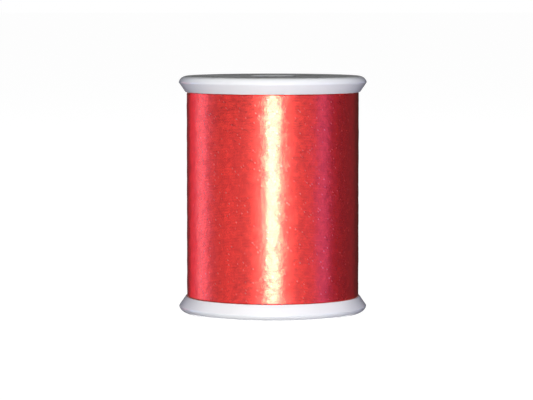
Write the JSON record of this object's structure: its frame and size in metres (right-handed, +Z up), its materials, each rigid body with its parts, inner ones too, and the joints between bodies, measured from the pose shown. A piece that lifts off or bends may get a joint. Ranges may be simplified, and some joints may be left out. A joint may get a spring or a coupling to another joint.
{
  "type": "flanged thread spool with its winding of metallic thread",
  "caption": "Small white flanged plastic spool, full of red metallic thread in close turns, with a bore for a spool pin.",
  "frame": {"origin": "middle of the lower end face, on the spool's axis, at the height of the surface it stands on", "axes": "+Z up along the spool's axis; it is round, so +X and +Y are any two directions across it"},
  "size_m": [0.03, 0.03, 0.0378],
  "materials": {
    "white_plastic": "white polystyrene, injection moulded, with a soft gloss",
    "metallic_thread": "red lacquered metal film thread, wound in close even turns, with a bright metallic shine"
  },
  "bodies": {
    "root": {"spool": "white_plastic", "thread_winding": "metallic_thread"}
  },
  "joints": []
}
